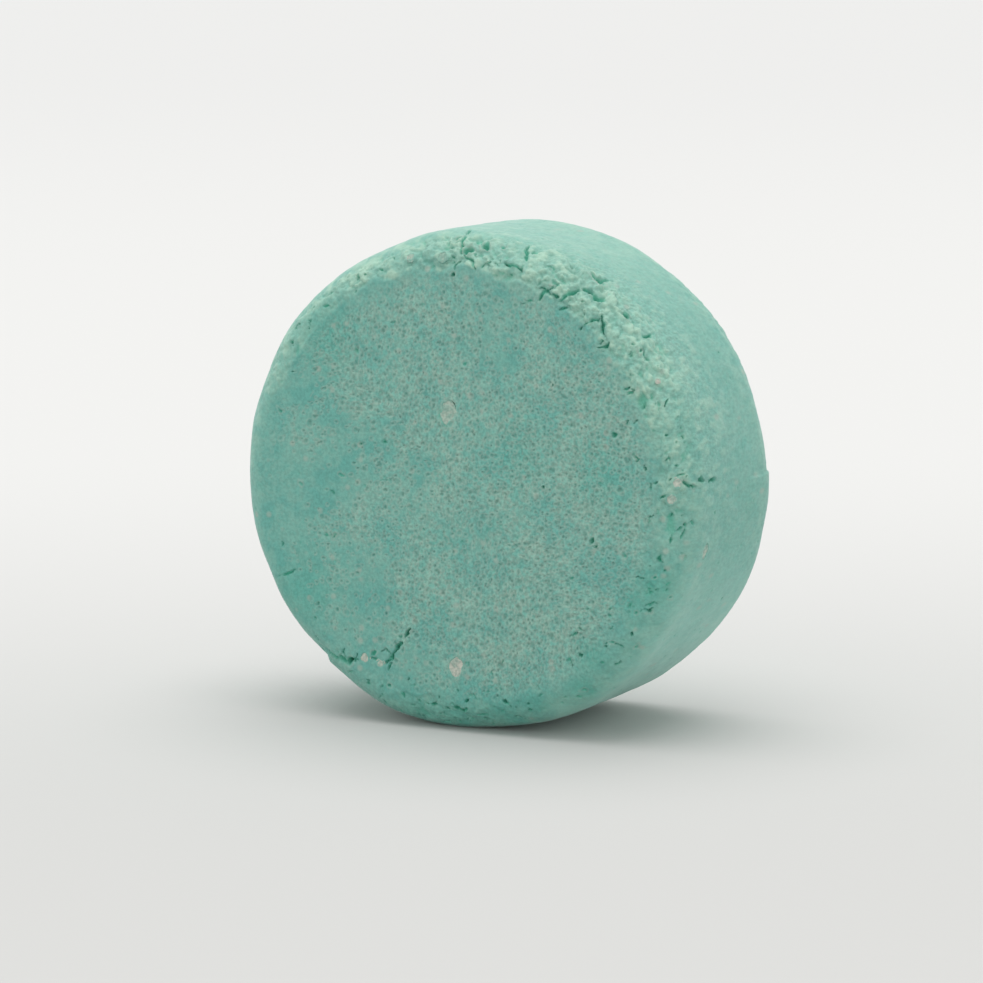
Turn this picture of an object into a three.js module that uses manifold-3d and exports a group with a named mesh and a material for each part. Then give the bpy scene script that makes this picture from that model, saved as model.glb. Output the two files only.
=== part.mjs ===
// A shaving soap puck that stands on its rim: one pressed round cake of soap, with pale granules of
// undispersed powder set in its surface, each in a socket of its own.
//
// Millimetres, +Z up. The puck's axis lies along Y, and its front face looks along -Y. The origin is
// the middle of the small flat on the rim that the puck stands on. Angles are in degrees round the
// axis, from +X (0) towards +Z (90), as seen from the front.

import * as THREE from "three";
import { mergeVertices } from "three/addons/utils/BufferGeometryUtils.js";
import Module from "manifold-3d";

const wasm = await Module();
wasm.setup();

// ---- Driving dimensions ----

const RADIUS = 35;
const THICKNESS = 31;
const EDGE_RADIAL = 4.5; // how far a rounded edge reaches in over its face
const EDGE_AXIAL = 6; // how far it reaches along the rim
const FLAT_DEPTH = 0.7; // what the standing flat takes off the round
const SOCKET_GAP = 0.3; // clearance between a granule and its socket

const RING_SEGMENTS = 96;
const EDGE_SEGMENTS = 7;

// ---- Worked out from them ----

const FRONT_Y = -THICKNESS / 2;
const REAR_Y = THICKNESS / 2;
const FACE_RADIUS = RADIUS - EDGE_RADIAL;
const AXIS_HEIGHT = RADIUS - FLAT_DEPTH;

// ---- Where the hand-pressed outline departs from a circle ----
// at and spread are degrees, rise is millimetres, and side is the edge where it is strongest.

const SWELLS = [
  { side: "front", at: 98, spread: 9, rise: 0.3 },
  { side: "front", at: 144, spread: 6, rise: 0.15 },
  { side: "front", at: 212, spread: 9, rise: -0.15 },
  { side: "front", at: 238, spread: 7, rise: -0.2 },
  { side: "rear", at: 335, spread: 16, rise: 0.6 },
  { side: "rear", at: 356, spread: 10, rise: 0.2 },
  { side: "rear", at: 16, spread: 9, rise: -0.35 },
  { side: "rear", at: 52, spread: 12, rise: -0.15 },
  { side: "rear", at: 75, spread: 10, rise: -0.15 },
];
const SIDE_BLEND = 5; // distance from the middle plane over which one side's swells give way

// ---- The crack across the lower left of the front face, and the pits in the crumbled edge ----
// Points are x and height above the axis.

const CRACK_WIDTH = 0.7;
const CRACK_DEPTH = 1.6;
const CRACK_ALONG = [
  [-24, -25.4],
  [-17.2, -25.4],
  [-13.2, -25.2],
  [-9.9, -24.5],
  [-7.5, -20.6],
];
const EDGE_PITS = [
  { seat: onRim(57, -9.6), width: 2.6, height: 1.8, depth: 1.6 },
  { seat: onEdge("front", 55, 55), width: 1.6, height: 2.4, depth: 1.8 },
  { seat: onEdge("front", 46, 20), width: 1.2, height: 2.2, depth: 1.4 },
  { seat: onEdge("front", 88, 22), width: 1.2, height: 2.6, depth: 1.2 },
];

// ---- Granules: where each sits, and its size across, up and into the soap ----
// The rear ones and the ones low on the left of the rim continue the same scatter round the puck.

const GRANULES = [
  { name: "granule_face_upper", seat: onFace("front", 97, 10.5), width: 2.3, height: 3, depth: 2 },
  { name: "granule_face_lower", seat: onFace("front", 270, 25.1), width: 2, height: 2.8, depth: 2 },
  { name: "granule_crack_large", seat: onFace("front", 240, 28.9), width: 1.5, height: 1.3, depth: 1.5 },
  { name: "granule_crack_small", seat: onFace("front", 245, 28.2), width: 1.1, height: 1, depth: 1.2 },
  { name: "granule_edge_right_high", seat: onEdge("front", 5, 32), width: 1.2, height: 1.1, depth: 1.2 },
  { name: "granule_edge_right_low", seat: onEdge("front", 1, 22), width: 1.2, height: 1.1, depth: 1.2 },
  { name: "granule_shoulder_right", seat: onEdge("front", 29, 46), width: 1.1, height: 1, depth: 1.2 },
  { name: "granule_rim_right", seat: onRim(-12, -8.2), width: 1.2, height: 1.7, depth: 1.3 },
  { name: "granule_edge_top_left", seat: onEdge("front", 103, 24), width: 1.5, height: 1.1, depth: 1.2 },
  { name: "granule_edge_top", seat: onEdge("front", 94, 17), width: 1.4, height: 1.2, depth: 1.2 },
  { name: "granule_rear_high", seat: onFace("rear", 62, 19), width: 2.4, height: 2, depth: 1.9 },
  { name: "granule_rear_left", seat: onFace("rear", 196, 14.5), width: 1.6, height: 2.1, depth: 1.6 },
  { name: "granule_rear_low", seat: onFace("rear", 305, 24), width: 1.9, height: 1.5, depth: 1.6 },
  { name: "granule_rim_left", seat: onRim(168, 5.5), width: 1.5, height: 1.9, depth: 1.4 },
  { name: "granule_rim_low_left", seat: onRim(216, -3.5), width: 1.3, height: 1.2, depth: 1.3 },
];
const SUNK = 0.22; // how far below the surface a granule's middle is, as a share of its depth
const LUMPINESS = 0.1;

// ---- Places on the puck's surface: each gives a point and the outward normal there ----

function onFace(side, angle, radius) {
  const out = side === "front" ? -1 : 1;
  const turn = THREE.MathUtils.degToRad(angle);
  return {
    point: new THREE.Vector3(radius * Math.cos(turn), (out * THICKNESS) / 2, radius * Math.sin(turn)),
    normal: new THREE.Vector3(0, out, 0),
  };
}

function onRim(angle, y) {
  const turn = THREE.MathUtils.degToRad(angle);
  const normal = new THREE.Vector3(Math.cos(turn), 0, Math.sin(turn));
  return { point: normal.clone().multiplyScalar(RADIUS).setY(y), normal };
}

// roll runs from 0, where the edge meets its face, to 90, where it meets the rim.
function onEdge(side, angle, roll) {
  const out = side === "front" ? -1 : 1;
  const turn = THREE.MathUtils.degToRad(angle);
  const tip = THREE.MathUtils.degToRad(roll);
  const radius = RADIUS - EDGE_RADIAL + EDGE_RADIAL * Math.sin(tip);
  const y = out * (THICKNESS / 2 - EDGE_AXIAL + EDGE_AXIAL * Math.cos(tip));
  const outward = Math.sin(tip) / EDGE_RADIAL;
  const axial = Math.cos(tip) / EDGE_AXIAL;
  return {
    point: new THREE.Vector3(radius * Math.cos(turn), y, radius * Math.sin(turn)),
    normal: new THREE.Vector3(
      outward * Math.cos(turn),
      out * axial,
      outward * Math.sin(turn),
    ).normalize(),
  };
}

// ---- Solids ----

function solidOf(geometry) {
  geometry.deleteAttribute("normal");
  geometry.deleteAttribute("uv");
  const merged = mergeVertices(geometry, 1e-4);
  return new wasm.Manifold(
    new wasm.Mesh({
      numProp: 3,
      vertProperties: new Float32Array(merged.attributes.position.array),
      triVerts: new Uint32Array(merged.index.array),
    }),
  );
}

function geometryOf(solid) {
  const mesh = solid.getMesh();
  const geometry = new THREE.BufferGeometry();
  geometry.setAttribute("position", new THREE.BufferAttribute(mesh.vertProperties, mesh.numProp));
  geometry.setIndex(new THREE.BufferAttribute(mesh.triVerts, 1));
  geometry.computeVertexNormals();
  return geometry;
}

// The rise of the outline over a true circle at an angle and a place along the axis.
function swellAt(angle, y) {
  const frontShare = 0.5 - 0.5 * Math.tanh(y / SIDE_BLEND);
  return SWELLS.reduce((sum, swell) => {
    const away = THREE.MathUtils.euclideanModulo(angle - swell.at + 180, 360) - 180;
    const share = swell.side === "front" ? frontShare : 1 - frontShare;
    return sum + share * swell.rise * Math.exp(-((away / swell.spread) ** 2));
  }, 0);
}

// The pressed cake: a turned disc with rounded edges whose rim swells a little here and there.
function makePressedRound() {
  const profile = [new THREE.Vector2(0, FRONT_Y)];
  for (let i = 0; i <= EDGE_SEGMENTS; i += 1) {
    const tip = (i / EDGE_SEGMENTS) * (Math.PI / 2);
    const radius = FACE_RADIUS + EDGE_RADIAL * Math.sin(tip);
    profile.push(new THREE.Vector2(radius, FRONT_Y + EDGE_AXIAL * (1 - Math.cos(tip))));
  }
  for (let i = 0; i <= EDGE_SEGMENTS; i += 1) {
    const tip = (i / EDGE_SEGMENTS) * (Math.PI / 2);
    const radius = FACE_RADIUS + EDGE_RADIAL * Math.cos(tip);
    profile.push(new THREE.Vector2(radius, REAR_Y - EDGE_AXIAL * (1 - Math.sin(tip))));
  }
  profile.push(new THREE.Vector2(0, REAR_Y));

  const round = new THREE.LatheGeometry(profile, RING_SEGMENTS);
  const position = round.attributes.position;
  for (let i = 0; i < position.count; i += 1) {
    const x = position.getX(i);
    const z = position.getZ(i);
    const radius = Math.hypot(x, z);
    if (radius < FACE_RADIUS) continue;
    const angle = THREE.MathUtils.radToDeg(Math.atan2(z, x));
    const nearRim = (radius - FACE_RADIUS) / EDGE_RADIAL;
    const scale = 1 + (nearRim * swellAt(angle, position.getY(i))) / radius;
    position.setX(i, x * scale);
    position.setZ(i, z * scale);
  }
  return solidOf(round);
}

// What the standing flat takes away: everything below it.
function makeBelowFlat() {
  const block = new THREE.BoxGeometry(4 * RADIUS, 4 * THICKNESS, 2 * RADIUS);
  block.translate(0, 0, -AXIS_HEIGHT - RADIUS);
  return solidOf(block);
}

// A narrow trench that follows the crack's line and tapers to a point at its inner end.
function makeCrack() {
  const line = CRACK_ALONG.map(([x, up]) => new THREE.Vector2(x, up));
  const bank = (side) =>
    line.slice(0, -1).map((point, i) => {
      const before = line[Math.max(i - 1, 0)];
      const along = line[i + 1].clone().sub(before).normalize();
      const across = new THREE.Vector2(-along.y, along.x);
      return point.clone().addScaledVector(across, (side * CRACK_WIDTH) / 2);
    });
  const outline = new THREE.Shape([...bank(-1), line.at(-1), ...bank(1).reverse()]);
  const trench = new THREE.ExtrudeGeometry(outline, { depth: 2 * EDGE_AXIAL, bevelEnabled: false });
  trench.rotateX(Math.PI / 2);
  trench.translate(0, FRONT_Y + CRACK_DEPTH, 0);
  return solidOf(trench);
}

// A lumpy pebble on a seat of the surface. grow pushes its skin outwards, to make its socket.
function makePebble({ seat, width, height, depth }, variant, grow = 0) {
  const pebble = new THREE.IcosahedronGeometry(1, 2);
  const position = pebble.attributes.position;
  const spot = new THREE.Vector3();
  for (let i = 0; i < position.count; i += 1) {
    spot.fromBufferAttribute(position, i);
    const ripple =
      Math.sin(3.1 * spot.x + 2.3 * variant) * Math.cos(2.7 * spot.y - variant) +
      0.6 * Math.sin(4.3 * spot.z + 1.9 * spot.x + 3.7 * variant);
    spot.multiplyScalar(1 + LUMPINESS * ripple);
    spot.multiply(new THREE.Vector3(width / 2, height / 2, depth / 2));
    spot.setLength(spot.length() + grow);
    position.setXYZ(i, spot.x, spot.y, spot.z);
  }
  const { point, normal } = seat;
  const aid = Math.abs(normal.z) > 0.9 ? new THREE.Vector3(0, 1, 0) : new THREE.Vector3(0, 0, 1);
  const across = new THREE.Vector3().crossVectors(aid, normal).normalize();
  const up = new THREE.Vector3().crossVectors(normal, across);
  const middle = point.clone().addScaledVector(normal, -SUNK * depth);
  pebble.applyMatrix4(new THREE.Matrix4().makeBasis(across, up, normal).setPosition(middle));
  return solidOf(pebble);
}

// ---- Finishes ----

const soap = new THREE.MeshStandardMaterial({ color: 0x6fa699, roughness: 0.85, metalness: 0 });
const powder = new THREE.MeshStandardMaterial({ color: 0xaeb5aa, roughness: 0.9, metalness: 0 });

// ---- The assembly ----

const puck = new THREE.Group();
puck.position.z = AXIS_HEIGHT;

function place(name, solid, material) {
  const mesh = new THREE.Mesh(geometryOf(solid), material.clone());
  mesh.name = name;
  puck.add(mesh);
}

const cake = makePressedRound().subtract(makeBelowFlat());

let body = cake.subtract(makeCrack());
EDGE_PITS.forEach((pit, i) => {
  body = body.subtract(makePebble(pit, i));
});
GRANULES.forEach((granule, i) => {
  body = body.subtract(makePebble(granule, i, SOCKET_GAP));
});
place("soap_body", body, soap);

GRANULES.forEach((granule, i) => {
  place(granule.name, makePebble(granule, i).intersect(cake), powder);
});

export default puck;
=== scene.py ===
"""The looks of a shaving soap puck that stands on its rim.

The pressed cake is one dense mesh. A grid of quads is laid over the cake's smooth form. Each point
then moves along its normal by a relief worked out from named features: the crumbling of the edges,
cracks, pits, pores and the sockets of the granules. The rim also moves out or in where the outline
departs from a circle. The granules are lumpy pebbles that stand where the CAD nodes are. Lengths are
in millimetres until a mesh is made. Angles are in degrees round the puck's axis, from +X (0) towards
+Z (90), as seen from the front.
"""

import itertools
import math

import bmesh
import bpy
import numpy as np
from mathutils import Matrix, Vector


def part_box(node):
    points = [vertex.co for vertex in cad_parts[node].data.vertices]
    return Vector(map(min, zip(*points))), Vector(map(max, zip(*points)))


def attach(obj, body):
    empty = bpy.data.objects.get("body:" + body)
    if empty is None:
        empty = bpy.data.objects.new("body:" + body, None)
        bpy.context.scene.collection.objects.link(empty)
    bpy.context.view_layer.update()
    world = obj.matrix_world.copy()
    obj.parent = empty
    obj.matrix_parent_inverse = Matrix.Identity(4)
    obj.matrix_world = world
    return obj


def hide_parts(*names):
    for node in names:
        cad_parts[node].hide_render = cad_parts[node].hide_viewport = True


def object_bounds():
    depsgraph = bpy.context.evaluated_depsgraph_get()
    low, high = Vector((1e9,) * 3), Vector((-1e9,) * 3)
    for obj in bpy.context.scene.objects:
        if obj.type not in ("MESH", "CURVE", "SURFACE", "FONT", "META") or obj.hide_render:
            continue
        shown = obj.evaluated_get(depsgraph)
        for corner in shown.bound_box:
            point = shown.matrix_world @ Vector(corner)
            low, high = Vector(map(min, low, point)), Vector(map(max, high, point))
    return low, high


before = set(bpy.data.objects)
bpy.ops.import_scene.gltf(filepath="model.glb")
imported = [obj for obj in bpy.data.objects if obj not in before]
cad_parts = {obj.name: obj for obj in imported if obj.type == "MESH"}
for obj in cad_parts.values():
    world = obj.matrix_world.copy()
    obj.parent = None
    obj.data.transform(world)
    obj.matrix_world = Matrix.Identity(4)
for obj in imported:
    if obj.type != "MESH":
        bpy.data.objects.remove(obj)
cad_low, cad_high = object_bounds()

MM = 0.001

# ---- The cake's form, as in the CAD solid ----

RADIUS = 35.0
EDGE_RADIAL = 4.5
EDGE_AXIAL = 6.0
FLAT_DEPTH = 0.7
THICKNESS = (cad_high.y - cad_low.y) / MM
HALF = THICKNESS / 2
FACE_RADIUS = RADIUS - EDGE_RADIAL
AXIS_HEIGHT = RADIUS - FLAT_DEPTH
SIDE_BLEND = 5.0

# Rings of quads on each face, and the spacing of the rows of quads round the rim.
FACE_RINGS = 200
ROW_STEP = 0.15

# ---- Where the outline rises over or falls short of a circle: (edge, angle, spread, rise) ----

SWELLS = (
    ("front", 97, 7, 0.3),
    ("front", 113, 9, -0.28),
    ("front", 144, 6, 0.1),
    ("front", 157, 8, -0.25),
    ("front", 205, 8, -0.22),
    ("front", 216, 5, 0.05),
    ("front", 238, 7, -0.2),
    ("rear", 335, 16, 0.6),
    ("rear", 356, 10, 0.2),
    ("rear", 16, 9, -0.15),
    ("rear", 52, 12, -0.15),
    ("rear", 75, 10, -0.15),
)

# ---- How strongly each edge crumbles round the puck: (angle, spread, strength) ----

FRONT_CRUMBLE = (
    (88, 24, 1.0),
    (58, 22, 1.1),
    (32, 16, 0.8),
    (118, 18, 0.7),
    (146, 16, 0.45),
    (5, 17, 0.8),
    (-16, 12, 0.45),
    (-42, 20, 0.25),
    (232, 7, 0.4),
    (268, 22, 0.45),
)
REAR_CRUMBLE = (
    (132, 22, 1.0),
    (165, 14, 0.5),
    (212, 20, 0.6),
    (268, 20, 0.5),
    (40, 22, 0.2),
)

# What a crumbled edge is made of, and how much of the edge is lost on average.
CLOD_SIZE, CLOD_HEIGHT = 3.3, 0.58
LUMP_SIZE, LUMP_HEIGHT = 1.8, 0.42
CRUMB_SIZE, CRUMB_HEIGHT = 0.9, 0.24
SAND_SIZE, SAND_HEIGHT = 0.7, 0.34
CRUMBLE_LOSS = 0.64
CHIP_DEPTH = 0.5

# ---- Cracks: points as seen from the front (x, height over the axis), half width, depth ----

FACE_CRACKS = (
    # The long crack at the lower left, with its side branches.
    (((-24.5, -26.0), (-20.2, -25.2), (-17.8, -25.7), (-16.0, -25.5)), 0.62, 0.75),
    (((-16.0, -25.2), (-13.2, -25.0), (-11.0, -25.4), (-9.9, -24.5)), 0.3, 0.6),
    (((-9.9, -24.5), (-9.2, -23.0), (-8.4, -22.0), (-7.4, -20.3)), 0.38, 0.7),
    (((-9.9, -24.5), (-10.6, -26.3)), 0.24, 0.5),
    (((-12.3, -24.2), (-11.2, -23.6), (-10.2, -24.2)), 0.26, 0.5),
    # Short ones on the left and in the middle of the face.
    (((-28.4, -14.4), (-26.8, -14.2), (-25.0, -12.8)), 0.24, 0.42),
    (((-11.2, 22.3), (-9.2, 22.4)), 0.16, 0.35),
    (((-12.4, 0.2), (-10.0, 0.5)), 0.2, 0.3),
    # Along the crumbled top.
    (((0.3, 32.6), (1.2, 32.0), (2.5, 31.2), (3.0, 30.2)), 0.26, 0.45),
    (((7.2, 31.4), (8.4, 31.2), (9.8, 30.6)), 0.46, 0.6),
    (((14.4, 28.4), (13.3, 27.6), (12.6, 26.7)), 0.36, 0.6),
    (((12.4, 26.6), (11.2, 26.3), (10.0, 25.8)), 0.24, 0.4),
    (((17.8, 28.4), (16.8, 27.8), (15.8, 26.8)), 0.42, 0.6),
    (((15.8, 25.6), (16.6, 25.6)), 0.3, 0.7),
    # On the upper right shoulder.
    (((19.4, 23.6), (20.4, 24.0), (21.4, 24.6)), 0.28, 0.6),
    (((21.6, 25.0), (22.1, 23.9), (22.0, 22.5)), 0.44, 0.8),
    (((21.6, 20.5), (22.6, 20.7), (22.9, 21.4)), 0.28, 0.8),
    (((26.2, 22.0), (27.4, 22.3)), 0.36, 0.65),
    (((29.4, 13.8), (30.2, 12.8)), 0.22, 0.4),
    (((31.0, 13.9), (30.8, 13.2)), 0.28, 0.6),
    # On the right shoulder.
    (((32.3, 5.4), (33.0, 5.0)), 0.24, 0.45),
    (((31.9, 3.2), (32.9, 3.7), (33.7, 4.0)), 0.22, 0.5),
    (((33.3, 2.9), (34.1, 2.2), (34.6, 2.0)), 0.3, 0.6),
    (((30.8, 0.7), (31.6, 1.1), (32.4, 1.4)), 0.3, 0.55),
    (((34.4, -2.0), (33.8, -3.1), (33.5, -4.2), (33.1, -5.3)), 0.26, 0.5),
    # Along the bottom edge.
    (((-9.0, -29.4), (-8.2, -30.2)), 0.36, 0.5),
    (((-4.6, -30.6), (-3.2, -30.7)), 0.34, 0.6),
    (((-0.2, -30.8), (0.9, -31.2), (1.4, -30.8)), 0.42, 0.6),
    (((3.0, -31.8), (4.2, -32.0)), 0.36, 0.5),
    (((7.2, -29.2), (8.2, -29.9)), 0.3, 0.5),
)
# (angle, y) on the rounded edge and the rim
RIM_CRACKS = (
    (((91.0, -9.6), (90.6, -11.5), (90.0, -13.2), (89.5, -14.9)), 0.34, 0.6),
    (((59.4, -9.8), (57.4, -9.4), (55.2, -7.2)), 0.5, 0.65),
    (((57.2, -13.4), (55.6, -13.0), (53.4, -13.2), (51.8, -12.8)), 0.6, 0.8),
    (((75.0, -10.8), (74.4, -12.4), (73.2, -13.6), (72.3, -15.2)), 0.36, 0.6),
    (((4.9, -11.3), (4.5, -9.9)), 0.56, 0.8),
    (((4.1, -8.2), (3.7, -6.7)), 0.52, 0.8),
)

# ---- Pits: place, half width, depth ----

FACE_PITS = (
    ((1.2, 33.0), 0.75, 0.8),
    ((3.4, 33.6), 0.8, 0.9),
    ((-1.0, 34.4), 0.4, 0.5),
    ((6.0, 33.6), 0.4, 0.5),
    ((24.1, 25.0), 0.7, 1.1),
    ((27.0, 20.4), 0.4, 0.5),
    ((24.6, 27.0), 0.3, 0.4),
    ((23.6, 8.9), 0.6, 0.75),
    ((23.1, 9.9), 0.3, 0.4),
    ((20.6, -6.0), 0.4, 0.8),
    ((21.4, -6.4), 0.36, 0.8),
    ((25.3, -7.4), 0.3, 0.4),
    ((29.8, -10.2), 0.3, 0.4),
    ((-10.6, 18.9), 0.35, 0.35),
    ((-15.3, 18.2), 0.45, 0.4),
    ((1.3, 17.5), 0.4, 0.3),
    ((-27.8, 9.2), 0.35, 0.4),
    ((-18.0, 0.8), 0.35, 0.3),
    ((-24.4, -0.9), 0.35, 0.3),
    ((-20.2, -1.5), 0.3, 0.3),
    ((-19.2, -8.2), 0.4, 0.3),
    ((-5.1, -6.2), 0.3, 0.3),
    ((14.4, 15.2), 0.26, 0.9),
    ((13.5, 0.8), 0.26, 0.9),
    ((-0.4, 29.6), 0.36, 0.9),
    ((27.5, -15.1), 0.3, 0.4),
    ((29.1, -15.1), 0.3, 0.9),
    ((23.8, -19.7), 0.3, 0.4),
    ((26.8, -20.1), 0.3, 0.4),
    ((31.5, -13.2), 0.3, 0.5),
    ((19.1, -26.9), 0.45, 0.5),
    ((-17.0, -25.8), 0.7, 0.8),
    ((-13.0, -24.2), 0.4, 0.5),
    ((-9.4, -23.2), 0.35, 0.6),
    ((-7.6, -20.7), 0.38, 0.7),
    ((-10.4, -28.5), 0.3, 0.4),
    ((1.6, -24.6), 0.3, 0.4),
    ((7.0, -23.7), 0.28, 0.4),
)
# (angle, y), half width, depth
RIM_PITS = (
    ((57.0, -9.8), 1.1, 1.2),
    ((3.2, -12.4), 0.35, 0.5),
    ((149.6, -12.6), 0.5, 0.5),
)

# ---- Fields of small random cracks ----
# (edge, angle, spread, how many, nearest and farthest from the face's border, longest)

CRACK_FIELDS = (
    ("front", 92, 26, 22, -0.6, 4.6, 1.7),
    ("front", 60, 16, 22, -1.0, 5.2, 1.9),
    ("front", 30, 12, 24, -2.5, 4.5, 1.2),
    ("front", 2, 14, 56, -3.6, 5.2, 1.6),
    ("front", -34, 14, 34, -5.5, 1.5, 1.1),
    ("front", -68, 16, 22, -5.0, 3.0, 1.1),
    ("front", 266, 18, 100, -2.6, 4.6, 1.4),
    ("front", 228, 12, 12, -3.0, 2.0, 1.3),
    ("front", 140, 22, 20, -1.0, 2.6, 1.0),
    ("rear", 135, 30, 60, -1.0, 5.0, 1.7),
    ("rear", 210, 24, 40, -2.0, 4.0, 1.5),
    ("rear", 270, 20, 40, -2.0, 4.0, 1.4),
    ("rear", 30, 40, 24, -1.5, 2.5, 1.2),
)

# ---- Patches where the dye lies thicker: (x, height over the axis), reach, strength ----

DYE_PATCHES = (
    ((30.2, -11.6), 3.0, 0.9),
    ((27.0, -13.5), 2.6, 0.6),
    ((20.4, -21.6), 2.4, 0.7),
    ((19.1, -26.9), 1.8, 1.0),
    ((12.0, -29.5), 2.5, 0.5),
    ((6.5, -32.6), 3.8, 0.7),
    ((-1.0, -33.4), 4.2, 0.65),
    ((-7.0, -32.6), 3.0, 0.5),
    ((-20.0, 20.0), 5.0, 0.5),
    ((-24.0, -16.0), 5.0, 0.5),
    ((10.0, 5.0), 4.0, 0.35),
    ((22.0, 3.0), 4.5, 0.4),
)

# ---- Kinds of pore: spacing, smallest and largest radius ----

PORE_KINDS = (
    (0.86, 0.1, 0.24),
    (1.3, 0.18, 0.4),
    (3.1, 0.3, 0.55),
)
PORE_DEPTH = 0.22

# ---- Granules: how white each one is, and how much of it the soap leaves bare ----

COMMON_TONE = 0.55
GRANULE_TONES = {
    "granule_face_upper": 0.3,
    "granule_face_lower": 0.7,
    "granule_crack_large": 0.6,
    "granule_crack_small": 0.4,
    "granule_edge_right_high": 0.7,
    "granule_edge_right_low": 0.55,
    "granule_shoulder_right": 0.85,
    "granule_edge_top": 0.15,
    "granule_edge_top_left": 0.35,
    "granule_rim_right": 0.45,
}
# Over 1, the soap doesn't reach over the granule's border at all.
COMMON_SHOWN = 0.9
GRANULE_SHOWN = {
    "granule_face_upper": 1.0,
    "granule_face_lower": 0.95,
    "granule_shoulder_right": 0.45,
    "granule_rim_right": 1.15,
    "granule_edge_top": 0.8,
    "granule_edge_top_left": 0.8,
    "granule_crack_large": 0.8,
    "granule_crack_small": 0.8,
}

# ---- Repeatable random fields ----


def lattice_random(cells, seed):
    """A repeatable number from 0 to 1 for each cell. The arrays in cells are its whole-number indices."""
    mixed = np.full(cells[0].shape, (seed * 2654435761) % 2**32, np.uint32)
    for index, stride in zip(cells, (2246822519, 3266489917, 668265263)):
        mixed ^= index.astype(np.int64).astype(np.uint32) * np.uint32(stride)
        mixed ^= mixed >> np.uint32(15)
        mixed *= np.uint32(739982445)
        mixed ^= mixed >> np.uint32(12)
    return mixed.astype(np.float64) / 2**32


def smooth_noise(points, size, seed):
    """Noise from -1 to 1 that varies over about size, at each row of points."""
    scaled = points / size
    base = np.floor(scaled)
    part = scaled - base
    fade = part**3 * (part * (part * 6 - 15) + 10)
    total = np.zeros(len(points))
    for corner in itertools.product((0, 1), repeat=3):
        weight = np.ones(len(points))
        for axis, step in enumerate(corner):
            weight *= fade[:, axis] if step else 1 - fade[:, axis]
        total += weight * lattice_random([base[:, a] + corner[a] for a in range(3)], seed)
    return 2 * total - 1


# The grain of the rim is drawn out along the puck's axis, the way the cake left its mould.
DRAWN_OUT = (1.0, 0.5, 1.0)
# Turning the space between layers hides the lattice.
TURN = np.array(Matrix.Rotation(0.9, 3, Vector((0.4, 1.0, 0.7)).normalized()))


def layered_noise(points, size, layers, seed):
    """Layers of noise, each half the size and half the height of the last, from about -1 to 1."""
    total = np.zeros(len(points))
    height, reach = 1.0, 0.0
    for layer in range(layers):
        total += height * smooth_noise(points, size, seed + 17 * layer)
        reach += height
        height *= 0.5
        size *= 0.5
        points = points @ TURN.T + 3.7
    return total / reach


def nearest_cells(points, size, seed, jitter=0.8):
    """The distance to the nearest of some scattered points, one to a cell, and its own random number."""
    dimensions = points.shape[1]
    base = np.floor(points / size)
    first = np.full(len(points), 1e9)
    owner = np.zeros(len(points))
    for step in itertools.product((-1, 0, 1), repeat=dimensions):
        cell = [base[:, a] + step[a] for a in range(dimensions)]
        gap = np.zeros(len(points))
        for axis in range(dimensions):
            spot = cell[axis] + 0.5 + jitter * (lattice_random(cell, seed + 31 * axis + 1) - 0.5)
            gap += (points[:, axis] - spot * size) ** 2
        gap = np.sqrt(gap)
        nearer = gap < first
        owner = np.where(nearer, lattice_random(cell, seed + 101), owner)
        first = np.where(nearer, gap, first)
    return first, owner


def ramp(value, low, high):
    """0 below low, 1 above high, and smooth between."""
    share = np.clip((value - low) / (high - low), 0, 1)
    return share * share * (3 - 2 * share)


def turn_away(degrees, centre):
    """Degrees from centre, from -180 to 180."""
    return (degrees - centre + 180) % 360 - 180


def around(degrees, centre, spread, power=2):
    """1 at the centre, falling away over spread degrees on both sides. A higher power flattens the top."""
    return np.exp(-((turn_away(degrees, centre) / spread) ** power))


# ---- Places on the cake ----


def make_profile():
    """Length along the half outline, radius and y, from the front face's middle to the rear face's."""
    tip = np.linspace(0, math.pi / 2, 97)
    radius = np.concatenate(
        ([0.0], FACE_RADIUS + EDGE_RADIAL * np.sin(tip), FACE_RADIUS + EDGE_RADIAL * np.cos(tip), [0.0])
    )
    y = np.concatenate(
        ([-HALF], -HALF + EDGE_AXIAL * (1 - np.cos(tip)), HALF - EDGE_AXIAL * (1 - np.sin(tip)), [HALF])
    )
    steps = np.hypot(np.diff(radius), np.diff(y))
    return np.concatenate(([0.0], np.cumsum(steps))), radius, y


SLOPE_REACH = 0.15  # the slope at a place is taken between points this far to either side
PROFILE_ALONG, PROFILE_RADIUS, PROFILE_Y = make_profile()
WHOLE = PROFILE_ALONG[-1]
EDGE_LENGTH = (WHOLE - 2 * FACE_RADIUS - (THICKNESS - 2 * EDGE_AXIAL)) / 2


def on_profile(along):
    """Radius, y and the outward normal's radial and y parts at a length along the half outline."""
    radius = np.interp(along, PROFILE_ALONG, PROFILE_RADIUS)
    y = np.interp(along, PROFILE_ALONG, PROFILE_Y)
    ahead, behind = np.minimum(along + SLOPE_REACH, WHOLE), np.maximum(along - SLOPE_REACH, 0)
    run_radius = np.interp(ahead, PROFILE_ALONG, PROFILE_RADIUS)
    run_radius -= np.interp(behind, PROFILE_ALONG, PROFILE_RADIUS)
    run_y = np.interp(ahead, PROFILE_ALONG, PROFILE_Y) - np.interp(behind, PROFILE_ALONG, PROFILE_Y)
    length = np.hypot(run_radius, run_y)
    return radius, y, run_y / length, -run_radius / length


def front_place(x, up):
    """The point on the front face or its rounded edge that shows at (x, up) from the front."""
    past = (math.hypot(x, up) - FACE_RADIUS) / EDGE_RADIAL
    past = min(max(past, 0.0), 1.0)
    return np.array((x, -HALF + EDGE_AXIAL * (1 - math.sqrt(1 - past * past)), up))


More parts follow.
